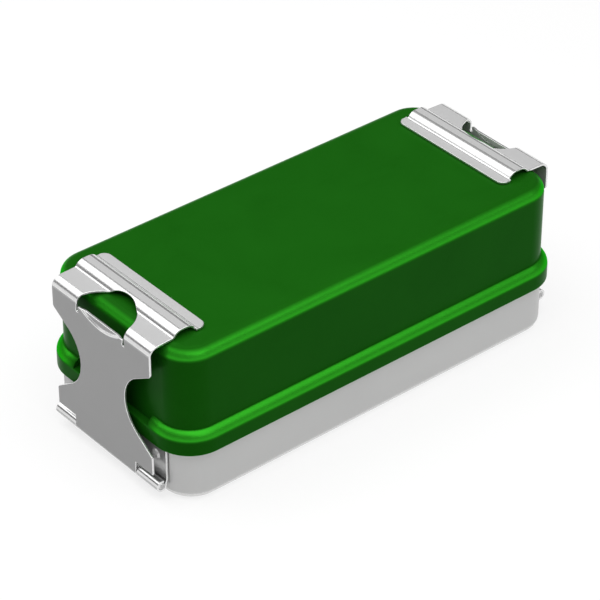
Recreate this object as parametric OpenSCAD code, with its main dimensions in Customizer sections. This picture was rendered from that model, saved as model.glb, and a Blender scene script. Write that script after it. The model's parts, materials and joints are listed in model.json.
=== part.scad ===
// A small implant container: silver base, tall green lid, two spring clamps and a lift-out tray.
// The origin is at the bottom centre of the base, X runs along the length and Z points up.

/* [Base] */
// Outer length of the base
base_l = 198.6; // [190:0.2:210]
// Outer width of the base
base_w = 89.2; // [88:0.2:96]
// Outer corner radius of the base
base_r = 14.2; // [13.6:0.1:16]
// Height of the base's rim
base_h = 27.6; // [26.6:0.1:30]
// Sheet thickness of the base
base_t = 1.2; // [1:0.05:1.5]
// Outer radius between floor and walls
base_edge_r = 4.5; // [3:0.1:6]
// Length of the raised field in the floor
field_l = 136; // [120:1:140]
// Width of the raised field in the floor
field_w = 44; // [42:1:48]
// Corner radius of the raised field
field_r = 8; // [5:0.5:9]
// Height by which the field is raised off the table
field_rise = 1.6; // [1:0.1:2]
// Diameter of the steam holes in the field
steam_d = 3; // [2:0.1:4]
// Pitch of the steam holes
steam_pitch = 9.6; // [9:0.1:11]

/* [Lid] */
// Height of the lid's top above the table
lid_h = 72.1; // [68:0.1:80]
// Sheet thickness of the lid
lid_t = 1.2; // [1:0.05:1.5]
// Outer radius between top and walls
lid_edge_r = 5.3; // [4:0.1:6.5]
// Gap between the base's wall and the inside of the skirt
skirt_gap = 1.5; // [1:0.1:2]
// Length by which the skirt reaches down past the base's rim
skirt_reach = 3.2; // [2.5:0.1:5]
// Step from the skirt in to the lid's walls
skirt_step = 3.2; // [2.6:0.1:3.6]
// Outer radius of the skirt's shoulder
shoulder_r = 4.9; // [4.4:0.1:5.4]
// Width of the cut in the shoulder behind each clamp
notch_w = 49; // [44:1:54]
// Height from the shoulder's curve up to the cut
notch_lip = 1.1; // [0.6:0.1:1.4]
// Height of the sealing ring
gasket_h = 2.3; // [1.8:0.1:3]
// Width of the sealing ring
gasket_w = 3; // [2.4:0.1:3.1]

/* [Hinges] */
// Diameter of the hinge pins
pin_d = 3; // [2.6:0.1:3.2]
// Distance of the pin's axis from the base's end wall
hinge_off = 3.2; // [3.1:0.1:4]
// Height of the pin's axis
hinge_z = 7; // [6:0.1:8]
// Length of the hinge
hinge_l = 67.6; // [64:0.2:70]
// Width of the tongue that carries the clamp's own knuckle
tongue_w = 40; // [36:0.2:44]
// Gap between neighbouring knuckles
knuckle_gap = 0.4; // [0.3:0.1:0.8]
// Sheet thickness of the hinge brackets
leaf_t = 1; // [0.8:0.05:1.2]
// Gap between a bracket's upper edge and the lid's skirt
leaf_gap = 1; // [0.5:0.1:2]
// Height above the pin at which a bracket bends away from the wall
leaf_bend = 6.4; // [5:0.1:7]
// Distance of a rivet from the end of the wall's flat
rivet_inset = 2.9; // [2.7:0.1:5]
// Height of the rivets
rivet_z = 18.6; // [17.5:0.1:19.5]
// Diameter of a rivet's head
rivet_head_d = 5; // [4:0.1:5.4]
// Height of a rivet's outer head
rivet_head_h = 1.5; // [1:0.1:1.8]
// Height of a rivet's inner head
rivet_back_h = 0.8; // [0.5:0.1:1]
// Diameter of a rivet's shank
rivet_d = 2.6; // [2:0.1:3]

/* [Clamps] */
// Sheet thickness of the clamps
clamp_t = 1; // [0.8:0.05:1.2]
// Width of the clamps
clamp_w = 63.2; // [62:0.2:66]
// Width by which the lip stands out past the clamp's sides
lip_over = 1; // [0.4:0.1:2]
// Outer radius of the bend over the lid's edge
bend_r = 4.2; // [3:0.1:5]
// Length of the shelf between bend and ridge
shelf_l = 7.2; // [6:0.1:8]
// Angle by which the shelf rises inwards
shelf_angle = 2.5; // [0:0.5:4]
// Steepest angle of the ridge's flanks
flank_angle = 66; // [50:1:75]
// Outer radius of the ridge's edges
ridge_r = 3; // [2.5:0.1:3.5]
// Radius of the grooves beside the ridge
groove_r = 1.2; // [0.8:0.1:1.6]
// Width of the ridge's flat crown
crown_l = 4.5; // [3:0.1:6]
// Length of the lip inside the ridge
lip_l = 4.3; // [3.6:0.1:5]
// Corner radius of the lip
lip_r = 3.4; // [2:0.1:4]
// Width of the plate at its waist
waist_w = 29; // [24:0.5:34]
// Radius of the waist's side cuts
waist_r = 16; // [14:0.5:17]
// Height of the waist
waist_z = 40.5; // [38:0.5:42]
// Slant of the shoulders above the waist
upper_slant = 31; // [25:1:36]
// Slant of the foot below the waist
lower_slant = 35; // [30:1:40]
// Width of the clamp's foot
foot_w = 62.4; // [60:0.2:63]
// Height of the foot's lower edge
foot_z = 12.2; // [11.4:0.1:13]
// Radius of the plate's corners
plate_r = 1.6; // [1:0.1:2.5]
// Radius of the finger window
window_r = 15.5; // [13:0.1:16.5]
// Distance of the window's centre outside the plate
window_off = 0.9; // [0.5:0.1:2]
// Height of the lid's top above the window's lower edge
window_drop = 3.7; // [3:0.1:5]
// Depth of the slits at the window's ends
slit_h = 2; // [1:0.1:3]
// Width of the slits
slit_w = 1; // [0.8:0.1:1.2]
// Diameter of the hole that ends a slit
slit_end_d = 1.6; // [1.3:0.1:2]
// Depth of the thumb hollow under the window
hollow_depth = 0.6; // [0.3:0.1:0.7]
// Height of the thumb hollow
hollow_h = 3.8; // [3:0.1:5]
// Distance of the thumb hollow from the window's ends
hollow_inset = 2; // [1.6:0.1:4]

/* [Filter] */
// Thickness of the filter sheet
filter_t = 0.3; // [0.2:0.05:0.5]
// Sheet thickness of the retainer plate
retainer_t = 0.8; // [0.6:0.1:1]
// Height of the retainer plate's turned-up rim
retainer_rim = 2.4; // [1.5:0.1:2.8]
// Margin of the retainer plate inside the raised field
retainer_margin = 1; // [0.5:0.1:2]
// Diameter of the retainer plate's holes
retainer_hole_d = 6; // [5:0.1:7]
// Pitch of the retainer plate's holes
retainer_pitch = 9.6; // [8.5:0.1:12]
// Length of the latch
latch_l = 24; // [20:1:28]
// Width of the latch
latch_w = 8; // [7:0.5:9]
// Thickness of the latch
latch_t = 1.6; // [1.2:0.1:2]
// Height of the latch's finger fins
fin_h = 1; // [0.6:0.1:1.1]
// Thickness of the latch's finger fins
fin_t = 1.4; // [1:0.1:2]
// Distance of a finger fin from the latch's end
fin_inset = 2; // [1:0.1:3]
// Diameter of the stud
stud_d = 4; // [3:0.1:4.5]
// Diameter of the stud's head
stud_head_d = 7; // [6:0.1:8]
// Height of the stud's head
stud_head_h = 0.8; // [0.6:0.1:1.2]

/* [Inner tray] */
// Gap between the tray and the base's wall
tray_gap = 2; // [1.6:0.1:3]
// Height of the tray's feet
tray_foot_h = 7.6; // [7.4:0.1:9]
// Diameter of the tray's feet
tray_foot_d = 8; // [6:0.5:9]
// Diameter of the pegs that hold the feet in the tray
peg_d = 4; // [3:0.1:5]
// Diameter of the heads on the pegs
peg_head_d = 6; // [5.4:0.1:8]
// Height of the heads on the pegs
peg_head_h = 0.8; // [0.5:0.1:1.5]
// Height of the tray's walls
tray_wall_h = 24; // [22:0.5:28]
// Sheet thickness of the tray
tray_t = 0.8; // [0.7:0.05:1]
// Radius between the tray's floor and walls
tray_edge_r = 2.5; // [2:0.1:3.5]
// Diameter of the tray's rolled rim
tray_rim_d = 2.2; // [2:0.1:2.6]
// Diameter of the tray's holes
tray_hole_d = 5; // [4:0.1:6]
// Pitch of the tray's holes
tray_pitch = 10; // [9:0.5:12]
// Height of the walls' lower row of holes above the tray's underside
tray_row_z = 7; // [6:0.5:8]
// Diameter of the handles' wire
wire_d = 2.8; // [2.4:0.1:3]
// Radius of the handles' bends
handle_r = 4; // [3:0.1:5]
// Gap between a hanging handle and the tray's floor
handle_gap = 0.5; // [0.3:0.1:3]
// Length by which the wire stands out of the ears
wire_over = 1; // [0.5:0.1:1.5]
// Length of an ear
ear_l = 8; // [6:0.5:10]
// Wall of an ear's knuckle
ear_t = 1; // [0.8:0.1:1.1]
// Sheet thickness of an ear's plate
ear_plate_t = 0.7; // [0.5:0.1:0.7]
// Height of an ear's plate
ear_plate_h = 9; // [6:0.5:12]
// Distance of an ear from the end of the wall's flat
ear_inset = 0.2; // [0:0.1:2]

/* [Screw rack] */
// Length of the rack
rack_l = 120; // [110:1:124]
// Width of the rack
rack_w = 32; // [28:1:34]
// Height of the rack
rack_h = 15; // [12:0.5:17]
// Distance of the rack from the tray's middle line
rack_off = 3; // [2:0.5:5]
// Diameter of the rack's through holes
bore_d = 3.2; // [2.4:0.1:4]
// Diameter of the rack's counterbores
counter_d = 6; // [5:0.1:7]
// Depth of the rack's counterbores
counter_h = 3; // [2:0.1:4]
// Pitch of the rack's holes
bore_pitch = 9; // [8.5:0.1:9.6]
// Length of the rack's lugs
lug_l = 8; // [7:0.5:9]
// Thickness of the rack's lugs
lug_t = 2.4; // [1.8:0.1:3]
// Length of the posts that carry the cover
post_l = 5; // [4:0.5:6]
// Thickness of the rack's cover
cover_t = 1; // [0.8:0.1:1.2]
// Height of the cover's turned-up front edge
cover_edge_h = 3; // [2:0.1:4]
// Diameter of the holes in the cover
cover_hole_d = 4.6; // [4:0.1:4.8]
// Diameter of the cover's hinge pin
cover_pin_d = 2; // [1.6:0.1:2.4]
// Wall of the cover's knuckle
cover_knuckle_t = 0.9; // [0.7:0.1:1.2]
// Size of the rack's screws
rack_screw_d = 3; // [2.5:0.5:3.5]
// Diameter of the rack screws' heads
rack_head_d = 5.6; // [5:0.1:6.5]
// Height of the rack screws' heads
rack_head_h = 1.8; // [1.5:0.1:2.4]
// Distance of the rack's screws from its sides
rack_screw_inset = 6; // [4:0.5:8]
// Size of the nuts across their corners
nut_d = 6.2; // [5.6:0.1:7]
// Height of the nuts
nut_h = 2.4; // [1.8:0.1:2.4]
// Length by which a screw stands out of its nut
screw_over = 0.3; // [0.1:0.1:0.4]

/* [Mat] */
// Thickness of the mat
mat_t = 1.6; // [1:0.1:2.5]
// Gap between the mat and the tray's wall
mat_gap = 2.5; // [1.5:0.1:4]
// Corner radius of the mat
mat_r = 3; // [1:0.5:6]
// Height of the mat's nubs
nub_h = 3; // [2:0.5:4]
// Diameter of the mat's nubs
nub_d = 3; // [2:0.1:4]
// Pitch of the mat's nubs
nub_pitch = 8; // [7:0.5:10]

/* [Clearances] */
// Running fit between a pin and its bore, on the radius
fit = 0.05; // [0.02:0.01:0.1]
// Gap between pieces that rest on or move past each other
clear = 0.3; // [0.25:0.05:0.5]

/* [Hidden] */
$fn = 64;

// How far a cut reaches past the face that it opens
over = 1;

// The least sheet left between a row's last hole and the edge
web = 1.2;

// How many holes or nubs of one size fit into a length
function fitting(length, d, pitch) = 1 + floor((length - d - 2 * web) / pitch);

// The corner centres, which every nested wall shares
core_l = base_l - 2 * base_r;
core_w = base_w - 2 * base_r;

// The lid's levels and radii, measured from the corner centres
gasket_r = base_r + skirt_gap;
skirt_r = gasket_r + lid_t;
wall_r = skirt_r - skirt_step;
skirt_z = base_h - skirt_reach;
gasket_z = base_h + clear;
notch_z = gasket_z + gasket_h + lid_t;
shoulder_z = notch_z - notch_lip;

// The hinge axis and the clamp's plate, as distances from the middle
end_x = base_l / 2;
axis_x = end_x + hinge_off;
pin_hole_r = pin_d / 2 + fit;
plate_x = axis_x + pin_hole_r + clamp_t;
leaf_top = skirt_z - leaf_gap;
bend_z = hinge_z + leaf_bend;
rivet_y = core_w / 2 - rivet_inset;
waist_y = waist_w / 2 + waist_r;
window_z = lid_h - window_drop;

// The angles on a bracket's knuckle between which its slanted sheet ends
sheet_angles = [25, -17];

// The floor's raised field and what lies on it
field_z = field_rise + base_t;
retainer_z = field_z + filter_t;
latch_z = retainer_z + retainer_t + clear;
fin_z = latch_z + latch_t;
stud_top = fin_z + clear + stud_head_h;

// The tray's levels and radii
tray_r = base_r - base_t - tray_gap;
tray_inner_r = tray_r - tray_t;
tray_z = base_t + clear + tray_foot_h;
tray_floor = tray_z + tray_t;
tray_top = tray_z + tray_wall_h;

// The handles' pivots, just inside the tray's end walls
ear_r = wire_d / 2 + fit + ear_t;
ear_y = core_w / 2 - ear_inset - ear_l / 2;
pivot_x = core_l / 2 + tray_inner_r - ear_r;
pivot_z = tray_top - tray_rim_d / 2 - ear_r;
handle_y = ear_y - ear_l / 2 - clear;
handle_l = pivot_z - tray_floor - wire_d / 2 - handle_gap;

// The rack's place in the tray and its holes
rack_y = -rack_off - rack_w / 2;
rack_front_y = rack_y - rack_w / 2;
rack_top = tray_floor + rack_h;
rack_nx = fitting(rack_l - 2 * post_l, counter_d, bore_pitch);
rack_ny = fitting(rack_w, counter_d, bore_pitch);
cover_hole_r = cover_pin_d / 2 + fit;
cover_knuckle_r = cover_hole_r + cover_knuckle_t;
cover_axis_y = -rack_off - cover_knuckle_r;
cover_axis_z = rack_top + clear + cover_knuckle_r;
screw_x = rack_l / 2 + lug_l / 2;
screw_y = rack_w / 2 - rack_screw_inset;
screw_places = [for (x = [-1, 1], y = [-1, 1]) [x * screw_x, rack_y + y * screw_y]];
foot_places = [for (x = [-1, 1], y = [-1, 1]) [x * core_l / 2, y * core_w / 2]];

// Places a right-hand piece, or turns it round to the left end
module at_end(side) {
    rotate([0, 0, side > 0 ? 0 : 180]) children();
}

module at_places(places) {
    for (p = places) translate([p[0], p[1], 0]) children();
}

// Turns a profile drawn in X and Z into a bar along Y, centred on Y = 0
module bar(length) {
    translate([0, length / 2, 0]) rotate([90, 0, 0]) linear_extrude(length) children();
}

// Turns an outline drawn in Y and Z into a slab along X
module slab(x0, x1) {
    translate([x0, 0, 0]) rotate([90, 0, 90]) linear_extrude(x1 - x0) children();
}

// Carries a wall profile round the four corners. Its X is the distance from a corner's centre
module round_corners() {
    for (k = [0 : 3])
        translate([(k == 0 || k == 3 ? 1 : -1) * core_l / 2, (k < 2 ? 1 : -1) * core_w / 2, 0])
            rotate([0, 0, 90 * k]) rotate_extrude(angle = 90) children();
}

module long_sides() {
    for (side = [90, 270]) rotate([0, 0, side]) translate([core_w / 2, 0, 0]) bar(core_l) children();
}

module short_sides() {
    for (side = [0, 180]) rotate([0, 0, side]) translate([core_l / 2, 0, 0]) bar(core_w) children();
}

module walls() {
    round_corners() children();
    long_sides() children();
    short_sides() children();
}

// Fills the rectangle between the corner centres
module core_plate(z0, z1) {
    translate([-core_l / 2, -core_w / 2, z0]) cube([core_l, core_w, z1 - z0]);
}

module rounded_slab(l, w, r, z0, z1) {
    translate([0, 0, z0]) linear_extrude(z1 - z0) {
        square([l, w - 2 * r], center = true);
        square([l - 2 * r, w], center = true);
        for (x = [-1, 1], y = [-1, 1]) translate([x * (l / 2 - r), y * (w / 2 - r)]) circle(r);
    }
}

// The filled section of a pan's floor edge and wall, out from a corner's centre
module pan_fill(r, edge_r, bottom, top) {
    translate([0, bottom + edge_r]) square([r, top - bottom - edge_r]);
    translate([0, bottom]) square([r - edge_r, top - bottom]);
    translate([r - edge_r, bottom + edge_r]) circle(edge_r);
}

// Round posts or drills on a grid, left out inside the circles [x, y, r] of keep
module round_grid(nx, ny, pitch, d, z0, z1, keep = []) {
    for (i = [0 : nx - 1], j = [0 : ny - 1]) {
        p = [(i - (nx - 1) / 2) * pitch, (j - (ny - 1) / 2) * pitch];
        blocked = [for (k = keep) if (norm(p - [k[0], k[1]]) < k[2] + d / 2) k];
        if (len(blocked) == 0) translate([p[0], p[1], z0]) cylinder(d = d, h = z1 - z0);
    }
}

// Base

module at_rivets() {
    for (y = [-1, 1]) translate([end_x, y * rivet_y, rivet_z]) rotate([0, 90, 0]) children();
}

module rivet_holes() {
    at_rivets() cylinder(d = rivet_d + 2 * fit, h = 4 * base_t, center = true);
}

module base_tray() {
    nx = fitting(field_l, steam_d, steam_pitch);
    ny = fitting(field_w, steam_d, steam_pitch);
    color([0.72, 0.72, 0.71]) difference() {
        union() {
            walls() difference() {
                pan_fill(base_r, base_edge_r, 0, base_h);
                pan_fill(base_r - base_t, base_edge_r - base_t, base_t, base_h + over);
            }
            core_plate(0, base_t);
            rounded_slab(field_l + 2 * base_t, field_w + 2 * base_t, field_r + base_t, base_t / 2, field_z);
        }
        rounded_slab(field_l, field_w, field_r, -over, field_rise);
        round_grid(nx, ny, steam_pitch, steam_d, 0, field_z + over, [[0, 0, stud_head_d / 2]]);
        for (side = [-1, 1]) at_end(side) rivet_holes();
    }
}

// Hinge brackets, their rivets and pins

module knuckle(t) {
    translate([axis_x, hinge_z]) difference() {
        circle(pin_hole_r + t);
        circle(pin_hole_r);
    }
}

// The sheet that slants from the end wall down to the top of a bracket's knuckle
module slanted_sheet() {
    ends = [for (a = sheet_angles) [axis_x, hinge_z] + (pin_hole_r + leaf_t / 2) * [sin(a), cos(a)]];
    polygon([[end_x, bend_z], [end_x + leaf_t, bend_z], ends[0], ends[1]]);
}

module bracket() {
    knuckle_l = (hinge_l - tongue_w) / 2 - knuckle_gap;
    color([0.6, 0.6, 0.6]) difference() {
        union() {
            translate([end_x, -hinge_l / 2, bend_z]) cube([leaf_t, hinge_l, leaf_top - bend_z]);
            for (y = [-1, 1]) translate([0, y * (hinge_l - knuckle_l) / 2, 0]) bar(knuckle_l) {
                slanted_sheet();
                knuckle(leaf_t);
            }
        }
        rivet_holes();
    }
}

module rivet() {
    dome_r = (pow(rivet_head_d / 2, 2) + pow(rivet_head_h, 2)) / (2 * rivet_head_h);
    translate([0, 0, -base_t - rivet_back_h]) cylinder(d = rivet_head_d, h = rivet_back_h);
    translate([0, 0, -base_t - rivet_back_h / 2]) cylinder(d = rivet_d, h = base_t + leaf_t + rivet_back_h);
    translate([0, 0, leaf_t]) intersection() {
        translate([0, 0, rivet_head_h - dome_r]) sphere(dome_r);
        cylinder(d = rivet_head_d + over, h = rivet_head_h + over);
    }
}

module bracket_rivets() {
    color([0.75, 0.75, 0.75]) at_rivets() rivet();
}

module hinge_pin() {
    color([0.55, 0.55, 0.56]) translate([axis_x, 0, hinge_z]) rotate([90, 0, 0])
        cylinder(d = pin_d, h = hinge_l, center = true);
}

// Clamps. The profile is walked as stations: distance in from the plate, height and heading

function go(s, length) = [s[0] + length * cos(s[2]), s[1] + length * sin(s[2]), s[2]];

function bend(s, r, angle, n = 10) = [
    for (i = [1 : n]) let (h = s[2] + angle * i / n, k = sign(angle) * r)
        [s[0] + k * (sin(h) - sin(s[2])), s[1] + k * (cos(s[2]) - cos(h)), h]
];

function last(list) = list[len(list) - 1];

function arc(centre, r, a0, a1, n = 8) = [
    for (i = [0 : n]) let (a = a0 + (a1 - a0) * i / n) centre + r * [cos(a), sin(a)]
];

half_t = clamp_t / 2;
seat_z = lid_h + clear + half_t;
bend_top_z = seat_z - (bend_r - half_t) * cos(shelf_angle) - shelf_l * sin(shelf_angle);
foot_start = [half_t, hinge_z, 90];
plate_top = go(foot_start, bend_top_z - hinge_z);
over_edge = bend(plate_top, bend_r - half_t, shelf_angle - 90);
shelf_end = go(last(over_edge), shelf_l);
groove_1 = bend(shelf_end, groove_r + half_t, flank_angle - shelf_angle);
ridge_1 = bend(last(groove_1), ridge_r - half_t, -flank_angle);
crown_end = go(last(ridge_1), crown_l);
ridge_2 = bend(crown_end, ridge_r - half_t, -flank_angle);
groove_2 = bend(last(ridge_2), groove_r + half_t, flank_angle);
lip_end = go(last(groove_2), lip_l);
stations = concat([foot_start, plate_top], over_edge, [shelf_end], groove_1, ridge_1, [crown_end],
    ridge_2, groove_2, [lip_end]);
clamp_top = 2 * lid_h;

function beside(s, d) = [plate_x - s[0] + d * sin(s[2]), s[1] + d * cos(s[2])];

module clamp_profile() {
    outer = [for (s = stations) beside(s, half_t)];
    inner = [for (i = [len(stations) - 1 : -1 : 0]) beside(stations[i], -half_t)];
    polygon(concat(outer, inner));
}

// Draws an outline whose other half is the mirror image of the half given
module mirrored_outline(half, flip) {
    polygon(concat(half, [for (i = [len(half) - 1 : -1 : 0]) [half[i][0] * flip[0], half[i][1] * flip[1]]]));
}

// Half of the plate's outline, from top to bottom, in Y and Z
function plate_half() =
    let (
        c = [waist_y, waist_z],
        up = c + waist_r * [-sin(upper_slant), cos(upper_slant)],
        low = c + waist_r * [-sin(lower_slant), -cos(lower_slant)],
        up_y = clamp_w / 2 - plate_r,
        up_z = up[1] + (plate_r + (up_y - up[0]) * sin(upper_slant)) / cos(upper_slant),
        low_y = foot_w / 2 - plate_r,
        low_z = low[1] - (plate_r + (low_y - low[0]) * sin(lower_slant)) / cos(lower_slant)
    )
    concat(
        [[clamp_w, clamp_top], [clamp_w, bend_top_z - over], [clamp_w / 2, bend_top_z - over]],
        arc([up_y, up_z], plate_r, 0, upper_slant - 90),
        arc(c, waist_r, 90 + upper_slant, 270 - lower_slant, 28),
        arc([low_y, low_z], plate_r, 90 - lower_slant, 0),
        [[foot_w / 2, foot_z], [tongue_w / 2, foot_z], [tongue_w / 2, 0]]
    );

// Half of the clamp seen from above: straight sides, then the wider lip with round corners
function plan_half() =
    let (
        lip_start = plate_x - last(ridge_2)[0] - half_t,
        lip_x = plate_x - lip_end[0],
        lip_y = clamp_w / 2 + lip_over
    )
    concat(
        [[plate_x + over, clamp_w / 2], [lip_start, clamp_w / 2], [lip_start, lip_y]],
        arc([lip_x + lip_r, lip_y - lip_r], lip_r, 90, 180)
    );

// A disc along X, cut off at the window's edge, that makes the thumb hollow
module hollow_disc(x0, x1) {
    half_chord = window_r - hollow_inset;
    r = (pow(half_chord, 2) + pow(hollow_h, 2)) / (2 * hollow_h);
    intersection() {
        translate([x0, 0, window_z - hollow_h + r]) rotate([0, 90, 0]) cylinder(r = r, h = x1 - x0, $fn = 96);
        translate([x0 - over, -half_chord - over, window_z - 2 * hollow_h])
            cube([x1 - x0 + 2 * over, 2 * (half_chord + over), 2 * hollow_h]);
    }
}

module slit(y) {
    x0 = plate_x - 3 * clamp_t;
    translate([x0, y - slit_w / 2, window_z - slit_h]) cube([4 * clamp_t, slit_w, slit_h + over]);
    translate([x0, y, window_z - slit_h]) rotate([0, 90, 0]) cylinder(d = slit_end_d, h = 4 * clamp_t);
}

module spring_clamp() {
    slit_y = window_r - slit_w / 2;
    color([0.62, 0.62, 0.62]) difference() {
        union() {
            intersection() {
                bar(2 * clamp_w) clamp_profile();
                slab(plate_x - lip_end[0] - over, plate_x + over) mirrored_outline(plate_half(), [-1, 1]);
                linear_extrude(clamp_top) mirrored_outline(plan_half(), [1, -1]);
            }
            bar(tongue_w) knuckle(clamp_t);
            hollow_disc(plate_x - clamp_t - hollow_depth, plate_x - half_t);
        }
        hollow_disc(plate_x - hollow_depth, plate_x + over);
        translate([plate_x + window_off, 0, window_z]) cylinder(r = window_r, h = lid_h, $fn = 96);
        for (y = [-slit_y, slit_y]) slit(y);
        translate([axis_x, 0, hinge_z]) rotate([90, 0, 0])
            cylinder(r = pin_hole_r, h = 2 * tongue_w, center = true);
    }
}

// Lid and its sealing ring

// The filled section of the lid's top and walls, out from a corner's centre
module top_fill(inset, bottom) {
    flat_r = wall_r - lid_edge_r;
    translate([0, bottom]) square([wall_r - inset, lid_h - lid_edge_r - bottom]);
    translate([0, bottom]) square([flat_r, lid_h - inset - bottom]);
    intersection() {
        translate([flat_r, lid_h - lid_edge_r]) circle(lid_edge_r - inset);
        square([wall_r, lid_h]);
    }
}

module skirt_fill(inset, bottom, notched) {
    intersection() {
        union() {
            translate([0, bottom]) square([skirt_r - inset, shoulder_z - bottom]);
            translate([skirt_r - shoulder_r, shoulder_z]) circle(shoulder_r - inset);
        }
        square([skirt_r, notched ? notch_z - inset : lid_h]);
    }
}

module lid_section(notched) {
    low = skirt_z - over;
    difference() {
        union() {
            top_fill(0, skirt_z);
            skirt_fill(0, skirt_z, notched);
        }
        top_fill(lid_t, low);
        skirt_fill(lid_t, low, notched);
    }
}

// The web that closes the hollow shoulder beside the cut
module web_section() {
    intersection() {
        skirt_fill(0, skirt_z, false);
        translate([wall_r - lid_t, notch_z - lid_t]) square([skirt_r, shoulder_r + lid_t]);
    }
}

module lid_shell() {
    side_l = (core_w - notch_w) / 2;
    color([0.1, 0.42, 0.07]) {
        round_corners() lid_section(false);
        long_sides() lid_section(false);
        core_plate(lid_h - lid_t, lid_h);
        for (side = [-1, 1]) at_end(side) translate([core_l / 2, 0, 0]) {
            bar(notch_w) lid_section(true);
            for (y = [-1, 1]) {
                translate([0, y * (notch_w + side_l) / 2, 0]) bar(side_l) lid_section(false);
                translate([0, y * (notch_w + lid_t) / 2, 0]) bar(lid_t) web_section();
            }
        }
    }
}

module lid_gasket() {
    outer = gasket_r - fit;
    color([0.75, 0.75, 0.72]) walls() translate([outer - gasket_w, gasket_z]) square([gasket_w, gasket_h]);
}

// Filter, its retainer plate, stud and latch

module filter_sheet() {
    margin = 2 * retainer_margin;
    color([0.93, 0.93, 0.9]) difference() {
        rounded_slab(field_l - margin, field_w - margin, field_r, field_z, field_z + filter_t);
        translate([0, 0, field_z - over]) cylinder(d = stud_d + 2 * clear, h = filter_t + 2 * over);
    }
}

module filter_retainer() {
    l = field_l - 2 * retainer_margin;
    w = field_w - 2 * retainer_margin;
    r = field_r - retainer_margin;
    inner_l = l - 2 * retainer_t;
    inner_w = w - 2 * retainer_t;
    floor_z = retainer_z + retainer_t;
    top_z = retainer_z + retainer_rim;
    slot_l = latch_l + 2 * clear;
    slot_w = latch_w + 2 * clear;
    nx = fitting(inner_l, retainer_hole_d, retainer_pitch);
    ny = fitting(inner_w, retainer_hole_d, retainer_pitch);
    keep = [[0, 0, slot_l / 2 + retainer_t]];
    color([0.7, 0.7, 0.7]) difference() {
        rounded_slab(l, w, r, retainer_z, top_z);
        rounded_slab(inner_l, inner_w, r - retainer_t, floor_z, top_z + over);
        round_grid(nx, ny, retainer_pitch, retainer_hole_d, retainer_z - over, floor_z + over, keep);
        rounded_slab(slot_w, slot_l, slot_w / 2 - fit, retainer_z - over, floor_z + over);
    }
}

module retainer_stud() {
    color([0.65, 0.65, 0.65]) {
        translate([0, 0, field_z]) cylinder(d = stud_d, h = stud_top - field_z - stud_head_h / 2);
        translate([0, 0, stud_top - stud_head_h]) cylinder(d = stud_head_d, h = stud_head_h);
    }
}

module retainer_latch() {
    fin_x = stud_head_d / 2 + clear;
    fin_l = latch_l / 2 - fin_inset - fin_x;
    color([0.8, 0.2, 0.15]) difference() {
        union() {
            rounded_slab(latch_l, latch_w, latch_w / 2 - fit, latch_z, fin_z);
            for (side = [-1, 1]) at_end(side) translate([fin_x, -fin_t / 2, latch_z])
                cube([fin_l, fin_t, latch_t + fin_h]);
        }
        translate([0, 0, latch_z - over]) cylinder(r = stud_d / 2 + fit, h = latch_t + 2 * over);
    }
}

// Inner tray, its feet, ears and handles

module tray_section() {
    difference() {
        pan_fill(tray_r, tray_edge_r, tray_z, tray_top);
        pan_fill(tray_inner_r, tray_edge_r - tray_t, tray_floor, tray_top + over);
    }
    translate([tray_r - tray_t / 2, tray_top]) circle(d = tray_rim_d);
}

module inner_tray() {
    nx = fitting(core_l, tray_hole_d, tray_pitch);
    ny = fitting(core_w + tray_r, tray_hole_d, tray_pitch);
    keep = concat(
        [for (p = screw_places) [p[0], p[1], nut_d / 2]],
        [for (p = foot_places) [p[0], p[1], tray_foot_d / 2]]
    );
    color([0.74, 0.74, 0.74]) difference() {
        union() {
            walls() tray_section();
            core_plate(tray_z, tray_floor);
        }
        round_grid(nx, ny, tray_pitch, tray_hole_d, tray_z - over, tray_floor + over, keep);
        for (row = [0, 1]) translate([0, 0, tray_z + tray_row_z + row * tray_pitch]) rotate([90, 0, 0])
            round_grid(nx - row, 1, tray_pitch, tray_hole_d, -base_w, base_w);
        at_places(foot_places) translate([0, 0, tray_z - over])
            cylinder(d = peg_d + 2 * fit, h = tray_t + 2 * over);
        at_places(screw_places) translate([0, 0, tray_z - over])
            cylinder(d = rack_screw_d + 2 * fit, h = tray_t + 2 * over);
    }
}

module tray_feet() {
    color([0.3, 0.3, 0.32]) at_places(foot_places) {
        translate([0, 0, tray_z - tray_foot_h]) cylinder(d = tray_foot_d, h = tray_foot_h);
        translate([0, 0, tray_z - tray_t]) cylinder(d = peg_d, h = 2 * tray_t + peg_head_h / 2);
        translate([0, 0, tray_floor]) cylinder(d = peg_head_d, h = peg_head_h);
    }
}

module tray_ears() {
    wall_x = pivot_x + ear_r;
    color([0.66, 0.66, 0.66]) for (side = [-1, 1], y = [-1, 1]) at_end(side) translate([0, y * ear_y, 0])
        bar(ear_l) {
            translate([pivot_x, pivot_z]) difference() {
                circle(ear_r);
                circle(wire_d / 2 + fit);
            }
            translate([wall_x - ear_plate_t, pivot_z - ear_plate_h]) square([ear_plate_t, ear_plate_h]);
        }
}

// A quarter bend of the handle's wire in the plane of Y and Z, from the given angle on
module wire_bend(y, z, angle) {
    translate([pivot_x, y, z]) rotate([90, 0, 90]) rotate([0, 0, angle]) rotate_extrude(angle = 90)
        translate([handle_r, 0]) circle(d = wire_d);
}

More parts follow.
